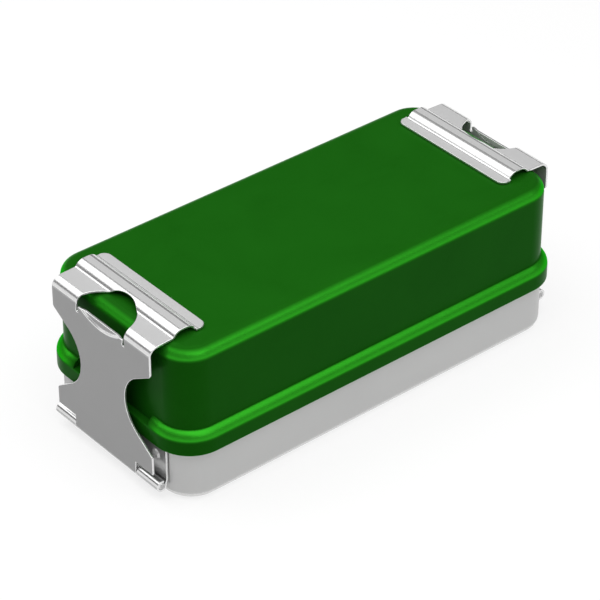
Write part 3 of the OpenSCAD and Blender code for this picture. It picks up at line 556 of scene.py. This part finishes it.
def ramp(value, zero_at, one_at):
    """Leads from 0 to 1 between two values."""
    return min(1.0, max(0.0, (value - zero_at) / (one_at - zero_at)))


def mark_bend_highlights(mesh, edge, soft_above=None):
    """Marks where a bend takes the burnish and its painted highlight, and leaves the corners of flat and
    upright faces at 0.

    Above the height soft_above, in mm, the highlight is painted only where a bend has turned well away from
    level.
    """
    drawn = mesh.loops.layers.float.new("drawn")
    flat = set()
    for face in mesh.faces:
        if face.loops[0][edge]:
            continue
        sharpest = 0.0
        area = face.calc_area()
        for side in face.edges:
            rounded = any(f.loops[0][edge] for f in side.link_faces)
            if side.is_manifold and not rounded and side.calc_face_angle() < CREASE:
                sharpest = max(sharpest, side.calc_face_angle() * side.calc_length() / area * MM)
        narrow = area < FACET * MM * max(side.calc_length() for side in face.edges)
        if (sharpest < 1 / FLAT_R and not narrow) or abs(face.normal.z) < UPRIGHT:
            flat.update(face.verts)
    for face in mesh.faces:
        for corner in face.loops:
            level = abs(corner.vert.normal.z)
            share = ramp(level, WALL_END, BEND_START)
            if soft_above and corner.vert.co.z > soft_above * MM:
                share *= ramp(level, LEVEL_END, SOFT_START)
            corner[drawn] = 0.0 if corner.vert in flat else share


# %% Turn a mesh into a piece
HARD_EDGE = math.radians(50)


def place(name, mesh, node, soft_above=None):
    """Turns a bmesh into a piece that stands for a node of the solid model and has its finish, body and slot,
    and marks where its bends take a painted highlight.
    """
    data = bpy.data.meshes.new(name)
    mesh.normal_update()
    mark_bend_highlights(mesh, mesh.loops.layers.float.get("edge") or mesh.loops.layers.float.new("edge"), soft_above)
    for face in mesh.faces:
        face.smooth = True
    for edge in mesh.edges:
        edge.smooth = not (edge.is_manifold and edge.calc_face_angle() > HARD_EDGE)
    mesh.to_mesh(data)
    count = len(mesh.faces)
    mesh.free()
    piece = bpy.data.objects.new(name, data)
    scene.collection.objects.link(piece)
    data.materials.append(finishes[slot_of[node]])
    shading = piece.modifiers.new("even_shading", "WEIGHTED_NORMAL")
    shading.mode = "FACE_AREA"
    shading.weight = 50
    shading.keep_sharp = True
    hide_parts(node)
    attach(piece, body_of[node])
    print(f"{name}: {count} faces")
    return piece


# %% [markdown]
# ## Sheet metal that is cut flat and then bent
#
# The clamps and hinge brackets are blanks of one millimetre sheet, stamped flat and bent in a tool. A bent
# sheet could be carved out of a solid, but then the rounding of its cut edges breaks up at the bends.
# Making it in the real order is easier: draw the flat outline, give it its thickness, round the edges,
# score it across at each small step of the bends, and then fold it along the centre line of the profile. In
# the flat, the first coordinate is the length along the sheet, the second is across, the third its
# thickness.

# %% Walk a profile's centre line
SHEET = 1.0


def go(at, length):
    """A straight step from a station, which is (inward, height, heading in degrees)."""
    inward, height, heading = at
    turn = math.radians(heading)
    return (inward + length * math.cos(turn), height + length * math.sin(turn), heading)


def bend(at, radius, angle, steps=10):
    """The stations of a bend that follows a station; a positive angle turns from inward towards up."""
    inward, height, heading = at
    k = math.copysign(radius, angle)
    start = math.radians(heading)
    turns = [math.radians(heading + angle * i / steps) for i in range(1, steps + 1)]
    return [(inward + k * (math.sin(t) - math.sin(start)), height + k * (math.cos(start) - math.cos(t)),
             math.degrees(t)) for t in turns]


def lengths_along(stations):
    """The length of the centre line up to each station."""
    total, lengths = 0.0, [0.0]
    for a, b in zip(stations, stations[1:]):
        total += math.dist(a[:2], b[:2])
        lengths.append(total)
    return lengths


quarter = bend((0, 0, 90), 2, -90)
print(f"a quarter bend of 2 mm takes {lengths_along([(0, 0, 90)] + quarter)[-1]:.2f} mm of strip")

# %% Cut, round, score and fold a blank


def arc(centre, radius, first, last, steps):
    """Points on an arc, from one angle in degrees to another."""
    turns = [math.radians(first + (last - first) * i / steps) for i in range(steps + 1)]
    return [(centre[0] + radius * math.cos(t), centre[1] + radius * math.sin(t)) for t in turns]


def cut_blank(outlines, rounding):
    """A flat sheet from half outlines (along, across) and their mirror images, with rounded edges."""
    mesh = bmesh.new()
    for side in (1, -1):
        for outline in outlines:
            mesh.faces.new([mesh.verts.new((a * MM, side * b * MM, -SHEET / 2 * MM)) for a, b in outline])
    bmesh.ops.remove_doubles(mesh, verts=mesh.verts, dist=1e-7)
    bmesh.ops.recalc_face_normals(mesh, faces=mesh.faces)
    grown = bmesh.ops.extrude_face_region(mesh, geom=mesh.faces[:])
    raised = [v for v in grown["geom"] if isinstance(v, bmesh.types.BMVert)]
    bmesh.ops.translate(mesh, verts=raised, vec=(0, 0, SHEET * MM))
    bmesh.ops.recalc_face_normals(mesh, faces=mesh.faces)
    # The cut sides are marked as edge, so they take the edge colour, partly wear and partly a painted
    # highlight.
    bright = mesh.loops.layers.float.new("edge")
    for face in mesh.faces:
        for corner in face.loops:
            corner[bright] = 1.0 if abs(face.normal.z) < 0.5 else 0.0
    return round_edges(mesh, rounding, sharp_edges(mesh, 30), keep_clear=False)


def fold_blank(mesh, stations, outer_x, side, pressed=None):
    """Scores the blank at each station and folds it; pressed gives how far a point is pushed inwards."""
    lengths = lengths_along(stations)
    for length in lengths[1:-1]:
        everything = mesh.verts[:] + mesh.edges[:] + mesh.faces[:]
        bmesh.ops.bisect_plane(mesh, geom=everything, dist=1e-7, plane_co=(length * MM, 0, 0),
                               plane_no=(1, 0, 0))

    def beside(i, off):
        inward, height, heading = stations[i]
        turn = math.radians(heading)
        return Vector((outer_x - inward + off * math.sin(turn), height + off * math.cos(turn)))

    for vert in mesh.verts:
        along, across, off = (v / MM for v in vert.co)
        if pressed:
            off -= pressed(along, abs(across))
        i = max(k for k in range(len(lengths) - 1) if lengths[k] <= along + 1e-4 or k == 0)
        share = (along - lengths[i]) / (lengths[i + 1] - lengths[i])
        spot = beside(i, off).lerp(beside(i + 1, off), share)
        vert.co = Vector((side * spot.x, across, spot.y)) * MM
    bmesh.ops.recalc_face_normals(mesh, faces=mesh.faces)
    return mesh


# %% [markdown]
# ## The spring clamps
#
# Each clamp is one strip of spring steel. Its foot is rolled round the hinge pin, its plate is cut in at
# the waist so that fingers can reach behind it, and its top is bent over the lid's edge, with a ridge that
# snaps home and a flat lip. A thumb pushes at the window, where the plate has a shallow pressed hollow
# between two slits.

# %% The clamp's profile
OUTER_X = 105.05
PIN_Z = 7.0
EYE_R, EYE_TURN = 2.05, 305
eye_heading = 90 + EYE_TURN
eye_turn = math.radians(eye_heading)
eye_start = (SHEET / 2 + EYE_R * (1 - math.sin(eye_turn)), PIN_Z + EYE_R * math.cos(eye_turn), eye_heading)
PLATE_TOP, OVER_R = 68.889, 3.7
SHELF, SHELF_L = 2.5, 7.2
FLANK, GROOVE_R, RIDGE_R, RIDGE_FLAT, LIP_L = 55.74, 1.7, 4.0, 2.75, 4.3

clamp = [eye_start] + bend(eye_start, EYE_R, -EYE_TURN, 40)
EYE_LENGTH = lengths_along(clamp)[-1]
clamp.append(go(clamp[-1], PLATE_TOP - PIN_Z))
TOP_BEND = len(clamp) - 1
clamp += bend(clamp[-1], OVER_R, SHELF - 90, 12)
clamp.append(go(clamp[-1], SHELF_L))
clamp += bend(clamp[-1], GROOVE_R, FLANK - SHELF, 10)
clamp += bend(clamp[-1], RIDGE_R, -FLANK, 12)
clamp.append(go(clamp[-1], RIDGE_FLAT))
clamp += bend(clamp[-1], RIDGE_R, -FLANK, 12)
LIP_START = clamp[-1][0] + SHEET / 2
clamp += bend(clamp[-1], GROOVE_R, FLANK, 10)
clamp.append(go(clamp[-1], LIP_L))
clamp_lengths = lengths_along(clamp)
clamp_top = max(height for _, height, _ in clamp) + SHEET / 2
print(f"clamp: {len(clamp)} stations, {clamp_lengths[-1]:.1f} mm of strip, top at {clamp_top:.2f} mm")


def at_height(z):
    """The length along the strip of a height on the plate."""
    return EYE_LENGTH + z - PIN_Z


def at_inward(inward):
    """The length along the strip of a distance in from the plate's face, past the plate."""
    for i in range(TOP_BEND, len(clamp) - 1):
        a, b = clamp[i][0], clamp[i + 1][0]
        if a <= inward <= b:
            return clamp_lengths[i] + (inward - a) / (b - a) * (clamp_lengths[i + 1] - clamp_lengths[i])
    return clamp_lengths[-1]


# %% The clamp's half outline
HALF_W, FOOT_HALF, TONGUE_HALF, FOOT_Z = 31.6, 31.2, 20.0, 12.2
WAIST_Y, WAIST_Z, WAIST_R, CORNER_R = 30.5, 40.5, 16.0, 1.6
UPPER, LOWER = 31.0, 35.0


def tangent_corner(y, slant, up):
    """The centre of the small corner between the waist's straight flank and the side at y."""
    s, c = math.sin(math.radians(slant)), math.cos(math.radians(slant))
    from_y, from_z = WAIST_Y - WAIST_R * s, WAIST_Z + up * WAIST_R * c
    y -= CORNER_R
    return (y, from_z + up * (CORNER_R + (y - from_y) * s) / c)


low = arc(tangent_corner(FOOT_HALF, LOWER, -1), CORNER_R, 0, 90 - LOWER, 6)
waist = arc((WAIST_Y, WAIST_Z), WAIST_R, 270 - LOWER, 90 + UPPER, 40)
high = arc(tangent_corner(HALF_W, UPPER, 1), CORNER_R, UPPER - 90, 0, 6)
side_line = [(at_height(z), y) for y, z in low + waist + high]

lip_end = clamp[-1][0]
LIP_HALF, LIP_R = HALF_W + 1.0, 3.4
lip = [(at_inward(LIP_START), HALF_W), (at_inward(LIP_START), LIP_HALF)]
lip += [(at_inward(inward), y) for inward, y in arc((lip_end - LIP_R, LIP_HALF - LIP_R), LIP_R, 90, 0, 10)]
print(f"clamp: {2 * min(y for _, y in side_line):.1f} mm wide at its waist, {2 * LIP_HALF:.1f} mm at its lip")

# %% The clamp's window, slits and thumb hollow
WINDOW_Z, WINDOW_R, WINDOW_OFF, WINDOW_TURN = 68.4, 15.5, 0.9, 84.6
SLIT_H, SLIT_W, SLIT_END_R, SLIT_OPEN = 2.0, 1.0, 0.8, 38.7
window = [(at_inward(inward - WINDOW_OFF), across)
          for inward, across in arc((0, 0), WINDOW_R, 0, WINDOW_TURN, 26)]
slit_end = (at_height(WINDOW_Z - SLIT_H), WINDOW_R - SLIT_W / 2)
slit = [(at_height(WINDOW_Z), WINDOW_R)]
slit += arc(slit_end, SLIT_END_R, SLIT_OPEN, 360 - SLIT_OPEN, 14)
slit += [(at_height(WINDOW_Z), WINDOW_R - SLIT_W)]

HOLLOW_HALF, HOLLOW_H = 13.5, 3.8
hollow_r = (HOLLOW_HALF ** 2 + HOLLOW_H ** 2) / (2 * HOLLOW_H)
hollow_z = WINDOW_Z - HOLLOW_H + hollow_r
# How deep the sheet is pressed, in mm, at distances in from the hollow's outline
PRESSED = [(0.0, 0.0), (0.25, 0.04), (0.5, 0.15), (0.8, 0.36), (1.1, 0.52), (1.4, 0.59), (1.7, 0.6)]


def hollow_line(inset):
    """The hollow's outline from the window's edge to the middle, drawn in by inset."""
    r = hollow_r - inset
    first = math.degrees(math.asin(math.sqrt(r ** 2 - (hollow_z - WINDOW_Z) ** 2) / r))
    turns = [math.radians(first * (1 - i / 12)) for i in range(13)]
    return [(at_height(hollow_z - r * math.cos(t)), r * math.sin(t)) for t in turns]


def pressed(along, across):
    """How deep the thumb hollow is pressed at a point of the blank."""
    z = along - EYE_LENGTH + PIN_Z
    inset = hollow_r - math.hypot(hollow_z - z, across)
    if inset <= 0 or z > WINDOW_Z + 0.5:
        return 0.0
    for (a, low_depth), (b, depth) in zip(PRESSED, PRESSED[1:]):
        if inset <= b:
            return low_depth + (inset - a) / (b - a) * (depth - low_depth)
    return PRESSED[-1][1]


print(f"window: {2 * WINDOW_R:.0f} mm wide")
print(f"thumb hollow: {HOLLOW_H} mm high and {PRESSED[-1][1]} mm deep")

# %% Make both clamps
rims = [hollow_line(inset) for inset, _ in PRESSED]
sheet_outline = [(0, 0), (0, TONGUE_HALF), (at_height(FOOT_Z), TONGUE_HALF), (at_height(FOOT_Z), FOOT_HALF)]
sheet_outline += side_line + lip + [(clamp_lengths[-1], 0)] + window + slit + rims[0]
outlines = [sheet_outline]
outlines += [outer + inner[::-1] for outer, inner in zip(rims, rims[1:])]
outlines += [rims[-1] + [(at_height(WINDOW_Z), 0)]]
CLAMP_EDGE = 0.2
for name, side in (("left_clamp", -1), ("right_clamp", 1)):
    blank = cut_blank(outlines, CLAMP_EDGE)
    place(name + "_spring", fold_blank(blank, clamp, OUTER_X, side, pressed), name)

# %% [markdown]
# ## The hinge brackets
#
# Each bracket is cut and bent the same way. Its leaf is riveted to the base's end wall and runs straight
# down, and two wide fingers are rolled outwards round the pin, one on each side of the clamp's foot.

# %% Make both brackets
LEAF_IN, LEAF_TOP, LEAF_FOOT = OUTER_X - 99.8, 23.4, 13.4
PIN_IN = OUTER_X - 102.5
FINGER_HALF, FINGER_IN = 33.8, 20.4
STEP_R, STEP_TURN = 3.0, 20.0
KNUCKLE_TURN, BRACKET_EDGE = 300, 0.15
turn = math.radians(STEP_TURN)
slant = (LEAF_IN - PIN_IN - EYE_R - 2 * STEP_R * (1 - math.cos(turn))) / math.sin(turn)
step_height = 2 * STEP_R * math.sin(turn) + slant * math.cos(turn)
bracket = [(LEAF_IN, LEAF_TOP, 270)]
bracket.append(go(bracket[-1], LEAF_TOP - PIN_Z - step_height))
bracket += bend(bracket[-1], STEP_R, -STEP_TURN, 4)
bracket.append(go(bracket[-1], slant))
bracket += bend(bracket[-1], STEP_R, STEP_TURN, 4)
bracket += bend(bracket[-1], EYE_R, -KNUCKLE_TURN, 40)
bracket_end = lengths_along(bracket)[-1]
leaf_foot = LEAF_TOP - LEAF_FOOT
outline = [(0, 0), (0, FINGER_HALF), (bracket_end, FINGER_HALF), (bracket_end, FINGER_IN),
           (leaf_foot, FINGER_IN), (leaf_foot, 0)]
print(f"bracket: {bracket_end:.1f} mm of strip, its step is {step_height:.2f} mm high")
for name, side in (("left_bracket", -1), ("right_bracket", 1)):
    blank = cut_blank([outline], BRACKET_EDGE)
    place(name + "_strip", fold_blank(blank, bracket, OUTER_X, side), name)

# %% [markdown]
# ## The lid and the base
#
# Both are deep-drawn: a flat sheet is pressed into a die, which leaves soft radii everywhere but at the
# trimmed rim. The solids hold all of those radii, so only the trimmed edges are rounded here.

# %% Finish the lid and the base
LID_RIM_Z, BASE_RIM_Z, RIM_ROUNDING = 24.4, 27.6, 0.25
# Above this height, in mm, the lid's painted highlight keeps off the bends that are still near level.
LID_UPPER_Z = 60


def rim_edges(mesh, height):
    """The sharp edges that lie at one height, in mm."""
    return [e for e in sharp_edges(mesh) if all(abs(v.co.z / MM - height) < 0.05 for v in e.verts)]


lid = opened("lid_shell")
place("lid_pressing", round_edges(lid, RIM_ROUNDING, rim_edges(lid, LID_RIM_Z)), "lid_shell", LID_UPPER_Z)
base = opened("base_tray")
place("base_pressing", round_edges(base, RIM_ROUNDING, rim_edges(base, BASE_RIM_Z)), "base_tray")

# %% [markdown]
# ## Everything small, and everything inside
#
# The rest is turned, drilled, stamped or moulded, and only differs in how far its edges are rounded.
# A turned pin has a plain chamfer, a stamped sheet is only deburred, and moulded silicone is soft all over.

# %% Finish the other pieces
# How far the sharp edges of each node are rounded, in mm.
ROUNDING = {
    "left_hinge_pin": 0.35, "right_hinge_pin": 0.35,
    "left_bracket_rivets": 0.12, "right_bracket_rivets": 0.12,
    "lid_gasket": 0.4,
    "filter_sheet": 0.05, "filter_retainer": 0.1, "retainer_stud": 0.2, "retainer_latch": 0.2,
    "inner_tray": 0.08, "tray_feet": 0.4, "tray_ears": 0.1,
    "left_tray_handle": 0.3, "right_tray_handle": 0.3,
    "screw_rack": 0.12, "rack_screws": 0.12, "rack_nuts": 0.2,
    "rack_cover": 0.1, "rack_hinge_pin": 0.2, "tray_mat": 0.1,
}
dressed = {node: place(node + "_finished", round_edges(opened(node), width), node)
           for node, width in ROUNDING.items()}
